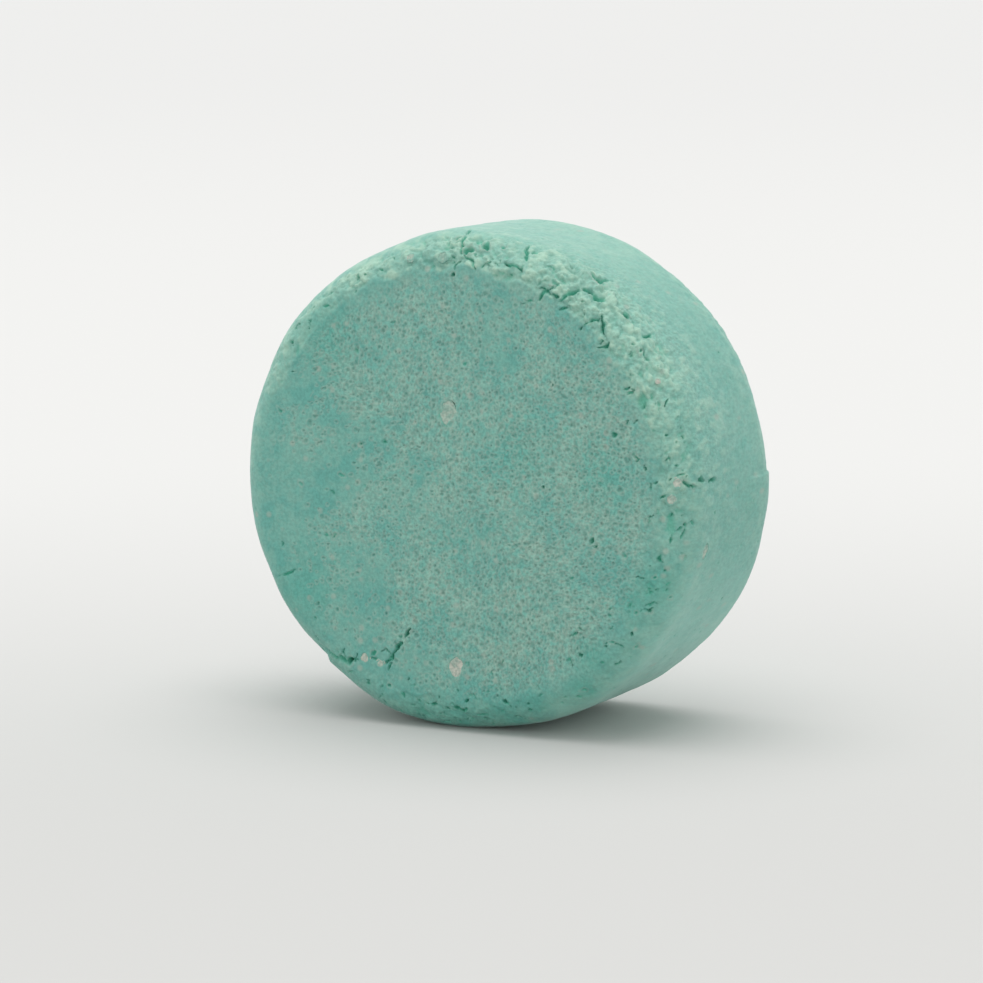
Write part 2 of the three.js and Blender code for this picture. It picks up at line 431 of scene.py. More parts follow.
def rim_place(angle, y):
    """The point at an angle and a y on the rim or on a rounded edge."""
    past = min(max((abs(y) - (HALF - EDGE_AXIAL)) / EDGE_AXIAL, 0.0), 1.0)
    radius = FACE_RADIUS + EDGE_RADIAL * math.sqrt(1 - past * past)
    turn = math.radians(angle)
    return np.array((radius * math.cos(turn), y, radius * math.sin(turn)))


def height_over_cake(points):
    """How far each point stands out from the cake's smooth form, and the outward normal there."""
    radius = np.hypot(points[:, 0], points[:, 2])
    along = np.linspace(0, WHOLE, 1200)
    line_radius, line_y, out_radial, out_y = on_profile(along)
    gaps = np.hypot(radius[:, None] - line_radius, points[:, 1][:, None] - line_y)
    best = gaps.argmin(1)
    height = (radius - line_radius[best]) * out_radial[best] + (points[:, 1] - line_y[best]) * out_y[best]
    safe = np.maximum(radius, 1e-6)
    normal = np.stack(
        (out_radial[best] * points[:, 0] / safe, out_y[best], out_radial[best] * points[:, 2] / safe), 1
    )
    return height, normal


def centre_of(node):
    """A CAD node's middle and half sizes, from the puck's centre."""
    low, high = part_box(node)
    middle = np.array((low + high) / 2) / MM
    middle[2] -= AXIS_HEIGHT
    return middle, np.array((high - low) / 2) / MM


# ---- The grid over the cake ----


def face_grid(rings):
    """Ring number and angle in radians of each point of a square grid bent into a disc, row by row."""
    step = np.arange(-rings, rings + 1)
    u, v = (g.ravel().astype(float) for g in np.meshgrid(step, step, indexing="ij"))
    ring = np.maximum(np.abs(u), np.abs(v))
    wide = np.abs(u) >= np.abs(v)
    safe_u, safe_v = np.where(u == 0, 1, u), np.where(v == 0, 1, v)
    angle = np.where(
        wide,
        math.pi / 4 * v / safe_u + np.where(u < 0, math.pi, 0),
        np.where(v > 0, math.pi / 2, -math.pi / 2) - math.pi / 4 * u / safe_v,
    )
    return ring, angle


def perimeter(rings):
    """Indices of the grid's outer points, anticlockwise from -45 degrees as seen from the front."""
    side = 2 * rings + 1
    grid = np.arange(side * side).reshape(side, side)
    return np.concatenate((grid[-1, :-1], grid[::-1, -1][:-1], grid[0, ::-1][:-1], grid[:-1, 0]))


def cake_grid(rings, row_step):
    """Length along the half outline, angle in radians, and quads, for points all over the cake."""
    ring, angle = face_grid(rings)
    side = 2 * rings + 1
    columns = 8 * rings
    rim_length = WHOLE - 2 * FACE_RADIUS
    rows = int(round(rim_length / row_step))
    face_along = ring / rings * FACE_RADIUS
    row_along = np.repeat(FACE_RADIUS + np.arange(1, rows) / rows * rim_length, columns)
    column_angle = -math.pi / 4 + np.arange(columns) * 2 * math.pi / columns
    along = np.concatenate((face_along, row_along, WHOLE - face_along))
    turn = np.concatenate((angle, np.tile(column_angle, rows - 1), angle))

    grid = np.arange(side * side).reshape(side, side)
    front = np.stack((grid[:-1, :-1], grid[1:, :-1], grid[1:, 1:], grid[:-1, 1:]), -1).reshape(-1, 4)
    rear = front[:, ::-1] + side * side + (rows - 1) * columns
    edge = perimeter(rings)
    bands = np.empty((rows + 1, columns), int)
    bands[0] = edge
    bands[1:rows] = side * side + np.arange((rows - 1) * columns).reshape(rows - 1, columns)
    bands[rows] = edge + side * side + (rows - 1) * columns
    after = np.roll(bands, -1, axis=1)
    rim = np.stack((bands[:-1], bands[1:], after[1:], after[:-1]), -1).reshape(-1, 4)
    return along, turn, np.concatenate((front, rim, rear))


# ---- The relief ----


def swell(degrees, y):
    """The rise of the outline over a true circle."""
    front_share = 0.5 - 0.5 * np.tanh(y / SIDE_BLEND)
    total = np.zeros(len(degrees))
    for side, centre, spread, rise in SWELLS:
        share = front_share if side == "front" else 1 - front_share
        total += share * rise * around(degrees, centre, spread)
    return total


def round_the_edge(degrees, spots):
    """The strongest of some (angle, spread, strength) spots at each angle."""
    best = np.zeros(len(degrees))
    for centre, spread, strength in spots:
        best = np.maximum(best, strength * around(degrees, centre, spread))
    return best


def line_distance(points, line):
    """The distance to a line of points, and how far along it the nearest place is, from 0 to 1."""
    best = np.full(len(points), 1e9)
    share = np.zeros(len(points))
    parts = len(line) - 1
    for number, (start, end) in enumerate(zip(line[:-1], line[1:])):
        run = end - start
        reach = np.clip((points - start) @ run / (run @ run), 0, 1)
        gap = np.linalg.norm(points - start - reach[:, None] * run, axis=1)
        nearer = gap < best
        best = np.where(nearer, gap, best)
        share = np.where(nearer, (number + reach) / parts, share)
    return best, share


def dent(gap, half_width):
    """1 in the middle of a dent, 0 from its rim outwards."""
    return np.clip(1 - (gap / half_width) ** 2, 0, 1) ** 1.5


class Relief:
    """Height over the smooth form at each point, and what a material needs to know about the place."""

    def __init__(self, along, turn):
        self.degrees = np.degrees(turn)
        self.along = along
        radius, y, out_radial, out_y = on_profile(along)
        self.points = np.stack((radius * np.cos(turn), y, radius * np.sin(turn)), 1)
        self.normals = np.stack((out_radial * np.cos(turn), out_y, out_radial * np.sin(turn)), 1)
        self.height = np.zeros(len(along))
        # Each of these runs from 0 to 1: painted bounce light in cracks and pits, painted shade in their
        # deepest parts and a few other places, pores (painted darker, as shade), the rings round them,
        # porous patches, crumbled edges, sandy grain, paler soap (partly painted light), a painted floor
        # reflection on the lower rim, and thicker dye.
        self.hollow = np.zeros(len(along))
        self.painted_shade = np.zeros(len(along))
        self.pore = np.zeros(len(along))
        self.ring = np.zeros(len(along))
        self.porous = np.zeros(len(along))
        self.crumbled = np.zeros(len(along))
        self.sandy = np.zeros(len(along))
        self.pale = np.zeros(len(along))
        self.painted_reflection = np.zeros(len(along))
        self.dye = np.zeros(len(along))
        # A slightly shaken copy of the points, so that drawn features get ragged borders.
        shake = np.stack([layered_noise(self.points, 1.1, 3, 400 + a) for a in range(3)], 1)
        self.shaken = self.points + 0.55 * shake

    def carve(self, gap, half_width, depth, where=slice(None)):
        """Cuts a dent, where gap is each point's distance from its middle. It paints bounce light over the
        dent and paints shade at its deepest part.
        """
        cut = dent(gap, half_width)
        self.height[where] -= depth * cut
        # Painted bounce light: the hollow mask turns the dent a brighter, more saturated green, which stands
        # in for light bouncing inside it.
        shade = np.clip(1.6 * cut * min(depth / 0.6, 1.0), 0, 1)
        self.hollow[where] = np.maximum(self.hollow[where], shade)
        # Painted shade at the deepest part of the dent.
        core = np.clip(2.0 * cut - 0.7, 0, 1) * min(max((depth - 0.3) / 0.6, 0.0), 1.0)
        self.painted_shade[where] = np.maximum(self.painted_shade[where], core)

    def near(self, middle, reach):
        """Which points are within reach of a place."""
        return np.linalg.norm(self.points - middle, axis=1) < reach


def add_gentle_form(relief):
    """Slow rises and falls of a hand-pressed cake, weaker on the flat faces."""
    on_face = 1 - ramp(relief.along, FACE_RADIUS - 3, FACE_RADIUS + 3)
    on_face += ramp(relief.along, WHOLE - FACE_RADIUS - 3, WHOLE - FACE_RADIUS + 3)
    slow = layered_noise(relief.points, 13, 2, 11)
    middling = layered_noise(relief.points, 4.5, 2, 23)
    relief.height += (0.14 - 0.09 * on_face) * slow + (0.09 - 0.045 * on_face) * middling - 0.05


def crumble_share(relief, degrees, along, spots, seed):
    """From 0 to 1, how crumbled an edge is. along runs from the middle of that edge's own face."""
    wander = 1.3 * layered_noise(relief.points, 3.4, 3, seed)
    offset = along + wander - FACE_RADIUS
    reach = EDGE_LENGTH * (0.5 + 0.7 * around(degrees, 52, 32))
    band = ramp(offset, -0.5, 0.4) * (1 - ramp(offset, 0.7 * reach, 1.3 * reach))
    return band * round_the_edge(degrees, spots)


def domes(points, size, seed):
    """Rounded domes packed side by side, from 0 in the creases to 1."""
    first, owner = nearest_cells(points, size, seed)
    return (0.5 + 0.5 * owner) * np.clip(1.0 - (first / (0.6 * size)) ** 2, 0, 1)


def add_crumbling(relief):
    """Clods, crumbs and sandy grain along the rounded edges, with deep creases between them. Crumb tops are
    paler, and painted light makes the crumbs paler towards the top of the puck.
    """
    share = np.maximum(
        crumble_share(relief, relief.degrees, relief.along, FRONT_CRUMBLE, 51),
        crumble_share(relief, relief.degrees, WHOLE - relief.along, REAR_CRUMBLE, 57),
    )
    some = share > 0.02
    points, part = relief.points[some], share[some]
    warp = np.stack([layered_noise(points, 1.3, 3, 70 + a) for a in range(3)], 1)
    clods = domes(points + 1.0 * warp, CLOD_SIZE, 61)
    lumps = domes(points @ TURN.T + 0.9 * warp, LUMP_SIZE, 62)
    crumbs = domes(points @ TURN + 0.55 * warp, CRUMB_SIZE, 63)
    sand = layered_noise(points @ TURN.T, SAND_SIZE, 3, 64)
    lost = ramp(-layered_noise(points @ TURN + 0.6 * warp, 3.0, 2, 71), 0.25, 0.75)
    height = CLOD_HEIGHT * clods + LUMP_HEIGHT * lumps + CRUMB_HEIGHT * crumbs + SAND_HEIGHT * sand
    height -= CRUMBLE_LOSS
    height -= CHIP_DEPTH * lost
    relief.height[some] += part * height
    # The deep creases between crumbs also get painted bounce light.
    deep = ramp(-height, 0.55, 1.05)
    relief.hollow[some] = np.maximum(relief.hollow[some], part * deep)
    # Crumb tops are paler, as dry powder. lit is painted light, which grows paler towards the top of the
    # puck.
    high = 0.4 + 0.6 * ramp(0.5 * clods + 0.7 * lumps + 0.6 * crumbs + 0.7 * sand, 0.2, 1.05)
    lit = (0.3 + 0.7 * ramp(points[:, 2], -12, 14)) * (0.85 + 0.75 * layered_noise(points, 2.6, 2, 72))
    relief.pale[some] = np.maximum(relief.pale[some], np.clip(part * 1.6, 0, 1) * high * lit)
    relief.crumbled = share


def add_worn_edge_and_painted_light(relief):
    """The rounded edge is paler than the face, most of all at the upper left, with a ragged border. Painted
    light makes the top of the rim paler, a painted floor reflection tints the lower right, and painted shade
    darkens the right a little.
    """
    wander = 2.2 * layered_noise(relief.points, 3.0, 3, 131)
    offset = np.minimum(relief.along, WHOLE - relief.along) + wander - FACE_RADIUS
    band = ramp(offset, -0.4, 2.6) * (1 - 0.6 * ramp(offset, EDGE_LENGTH, EDGE_LENGTH + 5))
    front_share = 0.7 - 0.3 * np.tanh(relief.points[:, 1] / SIDE_BLEND)
    strength = 0.22 + 0.58 * front_share * around(relief.degrees, 128, 36)
    strength += 0.35 * around(relief.degrees, 75, 40)
    patchy = 0.5 + 1.1 * layered_noise(relief.points, 1.5, 3, 133)
    relief.pale = np.maximum(relief.pale, band * np.clip(strength * patchy, 0, 1))
    # Painted light: the top of the rim is made paler, standing in for the light that falls on it.
    upper = around(relief.degrees, 88, 48, 4) * ramp(offset, 1, 5)
    relief.pale = np.maximum(relief.pale, upper * (0.32 + 0.25 * layered_noise(relief.points, 2.2, 3, 135)))
    # Painted reflection: the lower right of the rim gets a paler, cooler tint that stands in for the bright
    # floor reflected there.
    lower = around(relief.degrees, 308, 34, 4) * ramp(offset, 2, 7)
    relief.painted_reflection = lower * (0.55 + 0.15 * layered_noise(relief.points, 2.2, 2, 137))
    # Painted shade: the right of the rim is made a little darker.
    right = around(relief.degrees, 18, 42, 4) * ramp(offset, 3, 8)
    relief.painted_shade = np.maximum(relief.painted_shade, 0.12 * right)


def add_broken_outline(relief):
    """Places where the outline itself is broken: a flake at the lower left, a lip at the rear, a nick."""
    front = 1 - ramp(relief.points[:, 1], -HALF + 5, -HALF + 13)
    on_edge = ramp(relief.along, FACE_RADIUS - 0.5, FACE_RADIUS + 3)
    away = relief.degrees % 360
    lost = np.clip((away - 211) / 18, 0, 1) * (1 - ramp(away, 229.5, 231.5))
    relief.height -= 0.5 * lost * front * on_edge
    under = (1 - ramp(relief.points[:, 1], -9, -3)) * on_edge
    relief.height -= 0.66 * around(relief.degrees, 278, 14) * under
    relief.height += 0.3 * around(relief.degrees, 248, 8) * front * on_edge
    rear = ramp(relief.points[:, 1], 2, 9)
    above = turn_away(relief.degrees, 1.6)
    lip = ramp(above, -16, -2) * (1 - ramp(above, -0.3, 0.3))
    relief.height += 0.3 * lip * rear * ramp(WHOLE - relief.along, FACE_RADIUS, FACE_RADIUS + 4)


def carve_line(relief, line, half_width, depth, ragged=1.0):
    """A ragged crack along a line of points, narrower at its ends."""
    middle = sum(line) / len(line)
    close = relief.near(middle, 1.5 + max(np.linalg.norm(p - middle) for p in line))
    points = relief.points[close]
    gap, share = line_distance(points + ragged * (relief.shaken[close] - points), line)
    taper = 0.5 + 0.5 * np.sin(math.pi * np.clip(share, 0.05, 0.95))
    wobble = 0.9 + 0.5 * smooth_noise(points, 0.7, 77)
    relief.carve(gap / (taper * wobble), half_width, depth, close)


def add_cracks_and_pits(relief):
    """The cracks and pits that are named one by one, with a pinkish ring round each pit."""
    lines = [([front_place(*at) for at in line], w, d) for line, w, d in FACE_CRACKS]
    lines += [([rim_place(*at) for at in line], w, d) for line, w, d in RIM_CRACKS]
    for line, half_width, depth in lines:
        carve_line(relief, line, half_width, depth, 0.65)
    places = [(front_place(*at), w, d) for at, w, d in FACE_PITS]
    places += [(rim_place(*at), w, d) for at, w, d in RIM_PITS]
    for middle, half_width, depth in places:
        close = relief.near(middle, 2.5)
        gap = np.linalg.norm(relief.shaken[close] - middle, axis=1)
        relief.carve(gap, half_width, depth, close)
        wall = 0.9 * np.clip(1 - np.abs(gap - half_width - 0.12) / 0.18, 0, 1)
        relief.ring[close] = np.maximum(relief.ring[close], wall)


def edge_place(side, angle, offset):
    """The point at an angle, at a length past the border of the front or the rear face."""
    radius, y, _, _ = on_profile(np.array([FACE_RADIUS + offset]))
    turn = math.radians(angle)
    height = y[0] if side == "front" else -y[0]
    return np.array((radius[0] * math.cos(turn), height, radius[0] * math.sin(turn)))


def add_small_cracks(relief):
    """Short ragged cracks and gaps between crumbs, thick on the ground near the edges."""
    rng = np.random.default_rng(5)
    for side, centre, spread, count, nearest, farthest, longest in CRACK_FIELDS:
        for _ in range(count):
            angle = rng.normal(centre, spread)
            offset = rng.uniform(nearest, farthest)
            length = longest * rng.uniform(0.15, 1.0) ** 1.5
            heading = rng.uniform(0, math.pi)
            line = [edge_place(side, angle, offset)]
            for _ in range(3):
                heading += rng.normal(0, 0.6)
                offset += length / 3 * math.sin(heading)
                angle += math.degrees(length / 3 * math.cos(heading) / RADIUS)
                line.append(edge_place(side, angle, offset))
            carve_line(relief, line, rng.uniform(0.15, 0.34), rng.uniform(0.22, 0.65))


def add_scattered_pits(relief):
    """Small pits all over, and more of them towards the edges."""
    first, owner = nearest_cells(relief.shaken, 4.2, 81)
    keep = owner > 0.55
    relief.carve(np.where(keep, first, 1e9), 0.2 + 0.45 * (owner - 0.5), 0.45)


def add_pores(relief, side_sign, along, seed):
    """Fine round pores on one face, in porous patches with calm ones between, mostly to the right."""
    here = (along < FACE_RADIUS + 1.5) & (relief.points[:, 1] * side_sign > 0)
    points = relief.points[here]
    flat = points[:, (0, 2)] @ np.array(((0.84, 0.54), (-0.54, 0.84)))
    flat = flat + 0.12 * np.stack([smooth_noise(points, 0.6, seed + a) for a in range(2)], 1)
    patches = layered_noise(points, 6.5, 3, seed + 5)
    dense = 0.72 + 0.22 * ramp(points[:, 0], 2, 16) + 0.7 * patches
    leftward = -points[:, 0] - 0.3 * points[:, 2] + 6 * layered_noise(points, 6, 2, seed + 6)
    dense -= 0.6 * ramp(leftward, 4, 30)
    pit = np.zeros(len(flat))
    ring = np.zeros(len(flat))
    for size, low, high in PORE_KINDS:
        first, owner = nearest_cells(flat, size, seed + int(100 * size), jitter=1.0)
        radius = low + (high - low) * ((owner * 7) % 1)
        there = owner < dense
        pit = np.maximum(pit, np.where(there, dent(first, radius) * (0.35 + 0.65 * ((owner * 13) % 1)), 0))
        ring = np.maximum(ring, np.where(there, np.clip(1 - np.abs(first - radius - 0.08) / 0.14, 0, 1), 0))
    fade = 1 - ramp(along[here], FACE_RADIUS - 3.5, FACE_RADIUS + 1.5)
    relief.height[here] -= PORE_DEPTH * pit * fade
    # The pore mask also paints each pore darker, as painted shade inside the hole.
    relief.pore[here] = np.maximum(relief.pore[here], pit * fade)
    relief.ring[here] = np.maximum(relief.ring[here], ring * (1 - pit) * fade)
    relief.porous[here] = np.maximum(relief.porous[here], ramp(dense, 0.15, 0.95) * fade)


def add_rim_grain(relief):
    """A sandy grain on the upper right of the rim, and finer grain elsewhere."""
    towards_front = 0.5 - 0.5 * np.tanh((relief.points[:, 1] + 1) / 6)
    sandy = around(relief.degrees, 38, 50) * towards_front
    sandy *= ramp(relief.along, FACE_RADIUS - 2.5, FACE_RADIUS + 1)
    sandy = np.maximum(sandy, 0.8 * relief.crumbled)
    drawn_out = relief.points * DRAWN_OUT
    grain = layered_noise(drawn_out, 0.8, 2, 91)
    fine = layered_noise(drawn_out, 0.42, 1, 93)
    relief.height += (0.02 + 0.11 * sandy) * grain + (0.01 + 0.04 * sandy) * fine
    relief.sandy = sandy
    relief.pale = np.maximum(relief.pale, 0.75 * sandy * ramp(grain, -0.3, 0.6))
    first, owner = nearest_cells(relief.points, 1.5, 95)
    relief.carve(np.where(owner > 0.7, first, 1e9), 0.28, 0.12)


def add_dye(relief):
    """Patches on the front where the dye lies thicker."""
    for at, reach, strength in DYE_PATCHES:
        gap = np.linalg.norm(relief.shaken - front_place(*at), axis=1)
        relief.dye = np.maximum(relief.dye, strength * np.exp(-((gap / reach) ** 2)))


def add_sockets(relief, granules):
    """Sinks the soap where each granule lies, with a ragged border and a pale halo round it. A groove on the
    granule's lower left side gets painted shade and painted bounce light.
    """
    for node in granules:
        middle, half = centre_of(node)
        _, out = height_over_cake(middle[None, :])
        close = relief.near(middle, 7)
        points = relief.points[close]
        across = points - middle
        across -= (across @ out[0])[:, None] * out[0]
        spread = np.linalg.norm(across / np.maximum(half, 0.5), axis=1)
        ragged = spread / GRANULE_SHOWN.get(node, COMMON_SHOWN) + 0.5 * layered_noise(points, 0.9, 3, 97)
        calm = 1 - ramp(ragged, 1.25, 2.1)
        relief.height[close] *= 1 - calm
        relief.height[close] -= 0.5 * (1 - ramp(ragged, 0.75, 1.0))
        # The groove on the lower left side gets painted shade and painted bounce light, which makes a darker
        # crescent on one side.
        side = ramp(across @ np.array((-0.8, 0, -0.6)) + 0.3 * smooth_noise(points, 1.2, 99), 0.2, 0.9)
        groove = np.clip(1 - np.abs(ragged - 1.03) / 0.14, 0, 1) * side
        relief.height[close] -= 0.1 * groove
        relief.hollow[close] = np.maximum(relief.hollow[close] * (1 - calm), 0.6 * groove)
        relief.painted_shade[close] = np.maximum(relief.painted_shade[close] * (1 - calm), 0.35 * groove)
        halo = 0.25 * (1 - ramp(ragged, 0.9, 1.5)) * (1 - groove)
        relief.pale[close] = np.maximum(relief.pale[close], halo)


# ---- Meshes ----


def mesh_from(name, points, faces):
    """A mesh object from points in millimetres about the puck's centre."""
    raised = (points + (0, 0, AXIS_HEIGHT)) * MM
    mesh = bpy.data.meshes.new(name)
    mesh.vertices.add(len(raised))
    mesh.vertices.foreach_set("co", raised.astype(np.float32).ravel())
    corners = faces.shape[1]
    mesh.loops.add(faces.size)
    mesh.loops.foreach_set("vertex_index", faces.astype(np.int32).ravel())
    mesh.polygons.add(len(faces))
    mesh.polygons.foreach_set("loop_start", np.arange(0, faces.size, corners, dtype=np.int32))
    mesh.update(calc_edges=True)
    mesh.validate()
    mesh.shade_smooth()
    made = bpy.data.objects.new(name, mesh)
    bpy.context.scene.collection.objects.link(made)
    return made


def add_attribute(piece, name, values):
    """A number at each vertex, from 0 to 1, for the material to read."""
    layer = piece.data.attributes.new(name, "FLOAT", "POINT")
    layer.data.foreach_set("value", np.clip(values, 0, 1).astype(np.float32))


def add_bake_layer(cake, along, turn):
    """A UV layer with each half of the cake as a disc, one at the lower left and one at the upper right."""
    margin = 1.5
    reach = WHOLE / 2 + margin
    side = 2 * reach * (1 + math.sqrt(0.5)) + 1
    corners = np.empty(len(cake.data.loops), np.int32)
    cake.data.loops.foreach_get("vertex_index", corners)
    length = along[corners]
    rear = np.repeat(length.reshape(-1, 4).mean(1) > WHOLE / 2, 4)
    length = np.where(rear, WHOLE - length, length)
    sideways = np.cos(turn[corners]) * length
    u = np.where(rear, side - reach - sideways, reach + sideways) / side
    v = (np.where(rear, side - reach, reach) + np.sin(turn[corners]) * length) / side
    layer = cake.data.uv_layers.new(name="OFBake")
    layer.data.foreach_set("uv", np.stack((u, v), 1).astype(np.float32).ravel())


def make_cake(granules):
    """The pressed soap: the grid over the cake, moved by its relief, with what its material reads."""
    along, turn, faces = cake_grid(FACE_RINGS, ROW_STEP)
    relief = Relief(along, turn)
    add_gentle_form(relief)
    add_crumbling(relief)
    add_worn_edge_and_painted_light(relief)
    add_broken_outline(relief)
    add_cracks_and_pits(relief)
    add_small_cracks(relief)
    add_scattered_pits(relief)
    add_pores(relief, -1, along, 201)
    add_pores(relief, 1, WHOLE - along, 301)
    add_rim_grain(relief)
    add_dye(relief)
    add_sockets(relief, granules)
    # Light gets into the creases between crumbs, so they get less painted shade than a crack in the face.
    relief.painted_shade *= 1 - 0.5 * relief.crumbled

    points = relief.points + relief.normals * relief.height[:, None]
    from_axis = np.hypot(relief.points[:, 0], relief.points[:, 2])
    near_rim = np.clip((from_axis - FACE_RADIUS) / EDGE_RADIAL, 0, 1)
    rise = near_rim * swell(relief.degrees, relief.points[:, 1])
    points[:, 0] += rise * np.cos(turn)
    points[:, 2] += rise * np.sin(turn)
    points[:, 2] = np.maximum(points[:, 2], -AXIS_HEIGHT)

    cake = mesh_from("pressed_soap", points, faces)
    add_bake_layer(cake, along, turn)
    for name in ("hollow", "pore", "pale", "painted_reflection", "ring", "dye", "sandy", "painted_shade", "porous"):
        add_attribute(cake, name, getattr(relief, name))
    off_face = ramp(relief.along, FACE_RADIUS - 1, FACE_RADIUS + 4)
    off_face *= ramp(WHOLE - relief.along, FACE_RADIUS - 1, FACE_RADIUS + 4)
    add_attribute(cake, "face", 1 - off_face)
    return cake


BURIED = 0.06  # how far a granule's worn top lies below the soap


def make_granule(node, seed):
    """A lumpy pebble on a CAD granule's place, worn flush with the soap round it."""
    middle, half = centre_of(node)
    ball = bmesh.new()
    bmesh.ops.create_icosphere(ball, subdivisions=5, radius=1)
    ball.verts.ensure_lookup_table()
    unit = np.array([v.co for v in ball.verts])
    faces = np.array([[v.index for v in f.verts] for f in ball.faces])
    ball.free()
    _, out = height_over_cake(middle[None, :])
    upright = unit @ out[0]
    sideways = unit - upright[:, None] * out[0]
    flare = (1 - np.abs(upright) ** 5) ** 0.2 / np.maximum(np.sqrt(1 - upright**2), 0.05)
    blocky = upright[:, None] * out[0] + sideways * np.minimum(flare, 1.9)[:, None]
    lumps = layered_noise(unit * 1.2 + seed, 0.8, 3, seed)
    # A granule that shows very little is also a smaller pebble.
    shrink = min(GRANULE_SHOWN.get(node, COMMON_SHOWN) + 0.2, 1.0)
    points = middle + blocky * (half * 1.08 + 0.1) * shrink * (1 + 0.24 * lumps)[:, None]
    height, normal = height_over_cake(points)
    top = -BURIED + 0.06 * layered_noise(points, 0.6, 3, seed + 1)
    worn = np.minimum(height, top) + 0.1 * np.clip(height - top, 0, 0.4)
    points += normal * (worn - height)[:, None]
    lump = mesh_from(node.replace("granule", "powder_lump"), points, faces)
    rim = np.linalg.norm(sideways, axis=1)
    add_attribute(lump, "rim", ramp(rim, 0.4, 1.0))
    add_attribute(lump, "tone", np.full(len(points), GRANULE_TONES.get(node, COMMON_TONE)))
    return lump


# ---- Materials ----


class Nodes:
    """A short way to build a material's node tree. A socket given as a value is linked, any other is set."""

    def __init__(self, name):
        self.material = bpy.data.materials.new(name)
        self.material.use_nodes = True
        self.tree = self.material.node_tree
        self.tree.nodes.clear()
        self.output = self.tree.nodes.new("ShaderNodeOutputMaterial")

    def add(self, kind, settings=None, **values):
        node = self.tree.nodes.new("ShaderNode" + kind)
        for key, value in (settings or {}).items():
            setattr(node, key, value)
        for key, value in values.items():
            self.put(node.inputs[key.replace("_", " ")], value)
        return node

    def put(self, socket, value):
        if isinstance(value, bpy.types.NodeSocket):
            self.tree.links.new(value, socket)
        else:
            socket.default_value = value

    def math(self, operation, *values, clamp=False):
        node = self.add("Math", {"operation": operation, "use_clamp": clamp})
        for socket, value in zip(node.inputs, values):
            self.put(socket, value)
        return node.outputs[0]

    def noise(self, where, size, detail=2.0, rough=0.5):
        """Noise whose features are about size millimetres across, from 0 to 1."""
        node = self.add("TexNoise", Vector=where, Scale=1 / size, Detail=detail, Roughness=rough)
        return node.outputs["Fac"]

    def span(self, value, low, high, out_low=0.0, out_high=1.0):
        node = self.add("MapRange", {"interpolation_type": "SMOOTHSTEP"})
        for key, number in zip(
            ("Value", "From Min", "From Max", "To Min", "To Max"), (value, low, high, out_low, out_high)
        ):
            self.put(node.inputs[key], number)
        return node.outputs["Result"]

    def mix(self, share, first, second, blend="MIX"):
        node = self.add("Mix", {"data_type": "RGBA", "blend_type": blend})
        self.put(node.inputs[0], share)
        self.put(node.inputs[6], first)
        self.put(node.inputs[7], second)
        return node.outputs[2]

    def attribute(self, name):
        return self.add("Attribute", {"attribute_name": name}).outputs["Fac"]

    def millimetres(self):
        place = self.add("TexCoord").outputs["Object"]
        node = self.add("VectorMath", {"operation": "MULTIPLY"}, Vector=place)
        node.inputs[1].default_value = [share / MM for share in DRAWN_OUT]
        return node.outputs[0]


# Colours are linear red, green and blue, and an alpha of 1.
MINT = (0.126, 0.36, 0.305, 1)
MINT_GREY = (0.215, 0.405, 0.335, 1)
MINT_TEAL = (0.08, 0.325, 0.283, 1)
# Painted shade inside pores.
PORE_SHADE_GREEN = (0.085, 0.2, 0.16, 1)
# Painted bounce light: the bright saturated green of light bouncing inside cracks and pits.
HOLLOW_BOUNCE_GREEN = (0.055, 0.415, 0.285, 1)
# Painted shade: a deep green for the deepest parts of cracks and pits, for the grooves by the granules and
# for the right of the rim.
DEEP_SHADE_GREEN = (0.014, 0.15, 0.1, 1)
DYE_TEAL = (0.055, 0.32, 0.262, 1)
# Paler soap for worn edges, crumb tops and sandy grain. It also serves as painted light on the top of the
# rim and on the upper crumbs.
PALE_AND_PAINTED_LIGHT = (0.375, 0.575, 0.45, 1)
# Painted reflection of the bright floor on the lower right of the rim.
RIM_REFLECTION_TINT = (0.32, 0.6, 0.52, 1)
FLECK_PINK = (0.34, 0.4, 0.34, 1)
POWDER_DIM = (0.19, 0.39, 0.32, 1)
POWDER_DIM_WHITE = (0.34, 0.39, 0.34, 1)
POWDER_LIT = (0.27, 0.43, 0.355, 1)
POWDER_LIT_WHITE = (0.59, 0.53, 0.47, 1)
FLOOR_NEAR_SHADED = (0.54, 0.54, 0.53, 1)
FLOOR_FAR = (0.642, 0.642, 0.633, 1)
FLOOR_BACK_SHADED = (0.615, 0.615, 0.61, 1)


